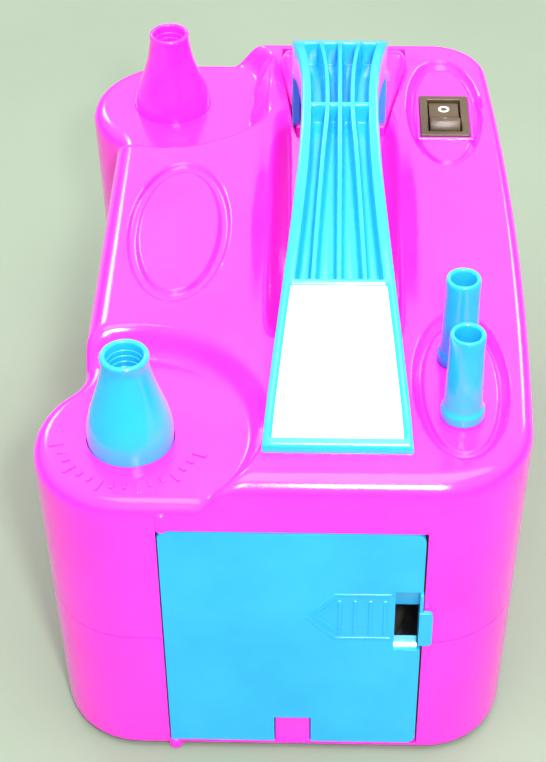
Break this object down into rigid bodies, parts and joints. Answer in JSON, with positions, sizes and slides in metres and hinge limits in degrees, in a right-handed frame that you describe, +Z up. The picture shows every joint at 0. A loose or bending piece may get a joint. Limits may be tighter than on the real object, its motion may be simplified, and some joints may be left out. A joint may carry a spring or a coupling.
{
  "type": "balloon inflator pump",
  "caption": "Electric balloon inflator: glossy two-part housing with a carry handle, two pressable air nozzles, rocker switch, spare nozzles and a cord compartment with a hinged door.",
  "frame": {"origin": "middle of the footprint, on the surface that the feet stand on", "axes": "+Z up, +Y from the cord door towards the rear (the longest side), +X to the right when facing the door"},
  "size_m": [0.1325, 0.2137, 0.1402],
  "materials": {
    "pink_shell": "glossy injection-moulded ABS, hot pink",
    "cyan_plastic": "glossy injection-moulded ABS, cyan blue",
    "silver_label": "blank silver-white foil plate",
    "black_plastic": "black moulded plastic, slightly satin",
    "cord_pvc": "black PVC",
    "black_rubber": "matt black rubber",
    "plated_steel": "zinc-plated steel",
    "spring_steel": "bright spring wire",
    "ground_steel": "ground steel",
    "lamination_steel": "stacked electrical steel",
    "brass_metal": "stamped brass",
    "copper": "enamelled copper",
    "carbon": "pressed carbon",
    "grey_plastic": "dark grey moulded plastic",
    "natural_nylon": "natural white nylon",
    "foam": "open-cell filter foam",
    "wire_pvc": "thin PVC insulation"
  },
  "bodies": {
    "housing": {"upper_shell": "pink_shell", "spare_pegs": "pink_shell", "lower_shell": "pink_shell", "handle_socket": "pink_shell", "carry_handle": "cyan_plastic", "handle_label": "silver_label", "switch_frame": "black_plastic", "microswitches": "black_plastic", "power_cord_lead": "cord_pvc", "power_cord_coil": "cord_pvc", "power_cord_tail": "cord_pvc", "power_plug": "cord_pvc", "cord_gland": "cord_pvc", "rubber_feet": "black_rubber", "motor_mounts": "black_rubber", "air_hoses": "black_rubber", "case_screws": "plated_steel", "handle_screws": "plated_steel", "fan_cover": "plated_steel", "lower_motor_bracket": "plated_steel", "upper_motor_bracket": "plated_steel", "near_spring": "spring_steel", "far_spring": "spring_steel", "motor_bearings": "ground_steel", "motor_stator": "lamination_steel", "switch_terminals": "brass_metal", "brush_holders": "brass_metal", "plug_prongs": "brass_metal", "field_coils": "copper", "carbon_brushes": "carbon", "cord_tray": "grey_plastic", "blower_jar": "grey_plastic", "air_manifold": "grey_plastic", "near_guide": "grey_plastic", "far_guide": "grey_plastic", "filter_grille": "grey_plastic", "diffuser": "natural_nylon", "cord_tie": "natural_nylon", "intake_filter": "foam", "mains_wire": "wire_pvc", "motor_wires": "wire_pvc"},
    "near_press_carrier": {"near_thrust_ring": "grey_plastic"},
    "near_nozzle": {"near_nozzle": "cyan_plastic", "near_seal": "black_rubber"},
    "far_nozzle": {"far_nozzle": "pink_shell", "far_seal": "black_rubber"},
    "near_plunger": {"near_plunger": "black_plastic"},
    "far_plunger": {"far_plunger": "black_plastic"},
    "rocker": {"rocker_button": "black_plastic"},
    "door": {"cord_door": "cyan_plastic"},
    "latch": {"door_latch": "cyan_plastic"},
    "spare_nozzle_near": {"spare_nozzle_near": "cyan_plastic"},
    "spare_nozzle_far": {"spare_nozzle_far": "cyan_plastic"},
    "armature": {"motor_shaft": "ground_steel", "armature_core": "lamination_steel", "armature_windings": "copper", "commutator": "copper", "impeller": "natural_nylon", "impeller_spacer": "plated_steel", "impeller_nut": "plated_steel"}
  },
  "joints": [
    {"name": "near_nozzle_press", "type": "slide", "parent": "housing", "child": "near_press_carrier", "axis": [0, 0, -1], "range_m": [0, 0.003], "stiffness_N_per_m": 500, "springref_m": -0.004, "deforming": ["near_spring"]},
    {"name": "near_nozzle_twist", "type": "hinge", "parent": "near_press_carrier", "child": "near_nozzle", "pos_m": [-0.04, -0.08, 0.09], "axis": [0, 0, 1], "range_deg": [0, 50]},
    {"name": "near_plunger_press", "type": "slide", "parent": "housing", "child": "near_plunger", "axis": [0, 0, -1], "range_m": [0, 0.003]},
    {"name": "far_nozzle_press", "type": "slide", "parent": "housing", "child": "far_nozzle", "axis": [0, 0, -1], "range_m": [0, 0.003], "stiffness_N_per_m": 500, "springref_m": -0.004, "deforming": ["far_spring"]},
    {"name": "far_plunger_press", "type": "slide", "parent": "housing", "child": "far_plunger", "axis": [0, 0, -1], "range_m": [0, 0.003]},
    {"name": "switch_rock", "type": "hinge", "parent": "housing", "child": "rocker", "pos_m": [0.0475, 0.062, 0.1024], "axis": [1, 0, 0], "range_deg": [0, 22]},
    {"name": "door_swing", "type": "hinge", "parent": "housing", "child": "door", "pos_m": [-0.0306, -0.1049, 0.046], "axis": [0, 0, -1], "range_deg": [0, 100]},
    {"name": "latch_flex", "type": "hinge", "parent": "door", "child": "latch", "pos_m": [0.0369, -0.1062, 0.0662], "axis": [0, 1, 0], "range_deg": [0, 10], "stiffness_Nm_per_rad": 0.4, "springref_deg": -2.86},
    {"name": "spare_nozzle_near_lift", "type": "slide", "parent": "housing", "child": "spare_nozzle_near", "axis": [0, 0, 1], "range_m": [0, 0.05]},
    {"name": "spare_nozzle_far_lift", "type": "slide", "parent": "housing", "child": "spare_nozzle_far", "axis": [0, 0, 1], "range_m": [0, 0.05]},
    {"name": "armature_spin", "type": "hinge", "parent": "housing", "child": "armature", "pos_m": [0.005, 0.012, 0.045], "axis": [0, 0, 1], "continuous": true}
  ],
  "couplings": [
    {"joint": "near_plunger_press", "follows": "near_nozzle_press", "ratio": 1},
    {"joint": "far_plunger_press", "follows": "far_nozzle_press", "ratio": 1}
  ]
}
